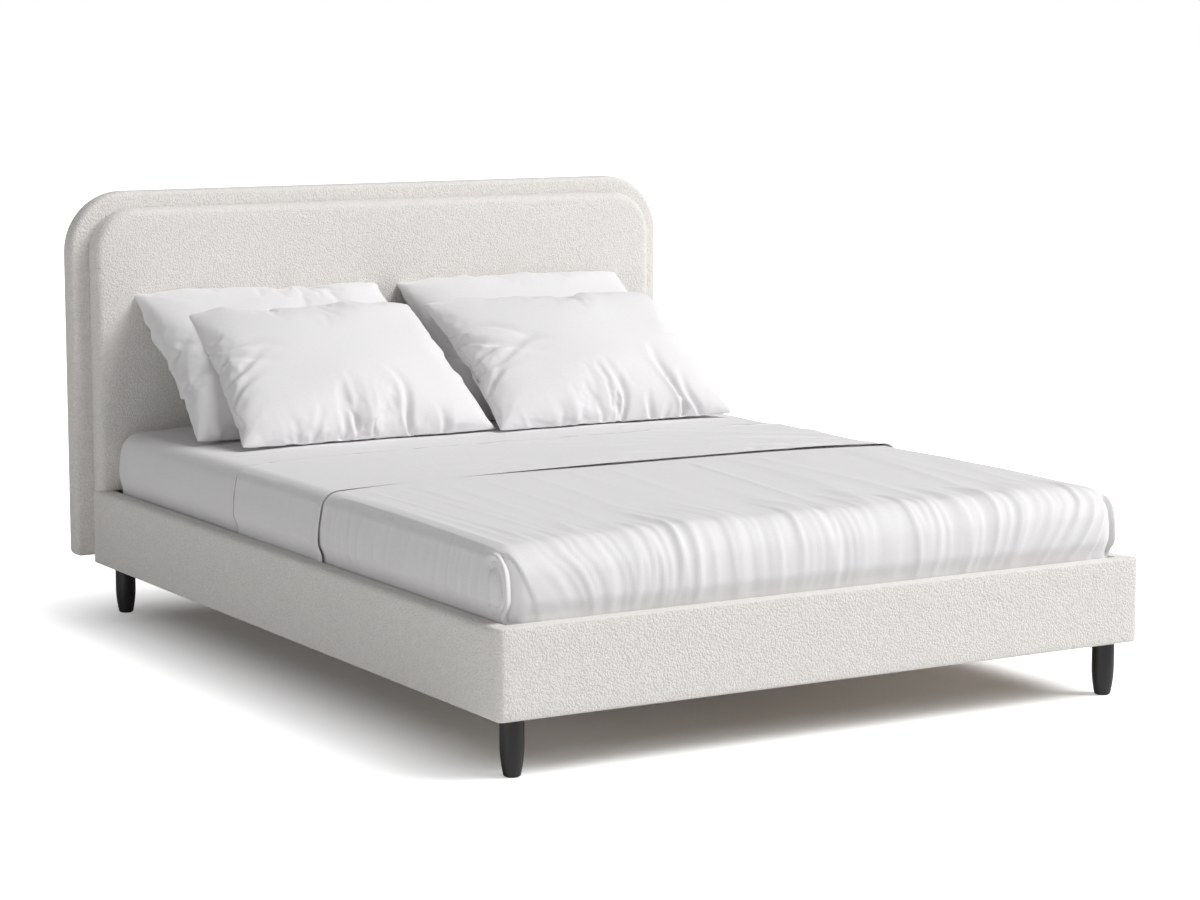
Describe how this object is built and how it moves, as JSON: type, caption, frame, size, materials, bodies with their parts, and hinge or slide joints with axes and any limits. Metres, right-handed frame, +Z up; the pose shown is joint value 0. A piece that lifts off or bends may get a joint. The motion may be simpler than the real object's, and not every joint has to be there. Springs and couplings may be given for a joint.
{
  "type": "upholstered bed",
  "caption": "Low upholstered double bed with a two-layer rounded headboard, slatted base, turned legs, mattress, tucked sheets and leaning pillows.",
  "frame": {"origin": "middle of the bed's overall length and width, at floor level", "axes": "+Z up, +Y along the bed towards the headboard, +X across the bed to the right as seen from the foot"},
  "size_m": [1.716, 2.178, 1.06],
  "materials": {
    "boucle_cover": "fine looped boucle weave, matt",
    "foam": "open-cell foam, matt",
    "dust_cloth": "thin bonded cloth, matt",
    "bed_linen": "plain woven cotton, soft sheen",
    "fibre_filling": "fibre in a thin white liner",
    "mattress_ticking": "knitted ticking, matt",
    "slat_timber": "planed pine, bare",
    "webbing": "woven tape",
    "felt": "pressed felt",
    "black_plastic": "moulded, matt",
    "black_timber": "black stain, satin",
    "plywood": "plywood, bare",
    "frame_timber": "sawn pine, bare",
    "black_steel": "black powder coat",
    "zinc_steel": "bright zinc"
  },
  "bodies": {
    "frame": {"batten_screws": "zinc_steel", "centre_rail": "frame_timber", "corner_bolts": "zinc_steel", "corner_washers": "zinc_steel", "foot_end_centre_leg": "black_timber", "foot_hanger": "black_steel", "foot_left_corner_block": "frame_timber", "foot_left_leg": "black_timber", "foot_rail_board": "frame_timber", "foot_rail_cover": "boucle_cover", "foot_rail_foam": "foam", "foot_right_corner_block": "frame_timber", "foot_right_leg": "black_timber", "front_panel_board": "plywood", "front_panel_cover": "boucle_cover", "front_panel_foam": "foam", "front_panel_screws": "zinc_steel", "hanger_screws": "zinc_steel", "head_end_centre_leg": "black_timber", "head_hanger": "black_steel", "head_left_corner_block": "frame_timber", "head_left_leg": "black_timber", "head_rail": "frame_timber", "head_right_corner_block": "frame_timber", "head_right_leg": "black_timber", "headboard_back_cloth": "dust_cloth", "headboard_board": "plywood", "headboard_bolts": "zinc_steel", "headboard_cover": "boucle_cover", "headboard_foam": "foam", "headboard_washers": "zinc_steel", "left_batten": "frame_timber", "left_rail_board": "frame_timber", "left_rail_cover": "boucle_cover", "left_rail_foam": "foam", "leg_glides": "felt", "leg_plates": "black_steel", "leg_studs": "zinc_steel", "plate_screws": "zinc_steel", "right_batten": "frame_timber", "right_rail_board": "frame_timber", "right_rail_cover": "boucle_cover", "right_rail_foam": "foam"},
    "slat_base": {"slats": "slat_timber", "slat_straps": "webbing"},
    "mattress": {"mattress": "mattress_ticking", "fitted_sheet": "bed_linen", "flat_sheet": "bed_linen"},
    "foot_end_levelling_foot": {"foot_end_levelling_foot": "black_plastic"},
    "head_end_levelling_foot": {"head_end_levelling_foot": "black_plastic"},
    "rear_left_pillow": {"rear_left_pillowcase": "bed_linen", "rear_left_pillow_filling": "fibre_filling"},
    "rear_right_pillow": {"rear_right_pillowcase": "bed_linen", "rear_right_pillow_filling": "fibre_filling"},
    "front_left_pillow": {"front_left_pillowcase": "bed_linen", "front_left_pillow_filling": "fibre_filling"},
    "front_right_pillow": {"front_right_pillowcase": "bed_linen", "front_right_pillow_filling": "fibre_filling"}
  },
  "joints": [
    {"name": "slat_base_lift", "type": "slide", "parent": "frame", "child": "slat_base", "axis": [0, 0, 1], "range_m": [0, 0.15]},
    {"name": "mattress_lift", "type": "slide", "parent": "slat_base", "child": "mattress", "axis": [0, 0, 1], "range_m": [0, 0.3]},
    {"name": "rear_left_pillow_lift", "type": "slide", "parent": "mattress", "child": "rear_left_pillow", "axis": [0, 0, 1], "range_m": [0, 0.4]},
    {"name": "rear_right_pillow_lift", "type": "slide", "parent": "mattress", "child": "rear_right_pillow", "axis": [0, 0, 1], "range_m": [0, 0.4]},
    {"name": "front_left_pillow_lift", "type": "slide", "parent": "rear_left_pillow", "child": "front_left_pillow", "axis": [0, 0, 1], "range_m": [0, 0.35]},
    {"name": "front_right_pillow_lift", "type": "slide", "parent": "rear_right_pillow", "child": "front_right_pillow", "axis": [0, 0, 1], "range_m": [0, 0.35]},
    {"name": "foot_end_foot_level", "type": "slide", "parent": "frame", "child": "foot_end_levelling_foot", "axis": [0, 0, -1], "range_m": [0, 0.012]},
    {"name": "head_end_foot_level", "type": "slide", "parent": "frame", "child": "head_end_levelling_foot", "axis": [0, 0, -1], "range_m": [0, 0.012]}
  ]
}
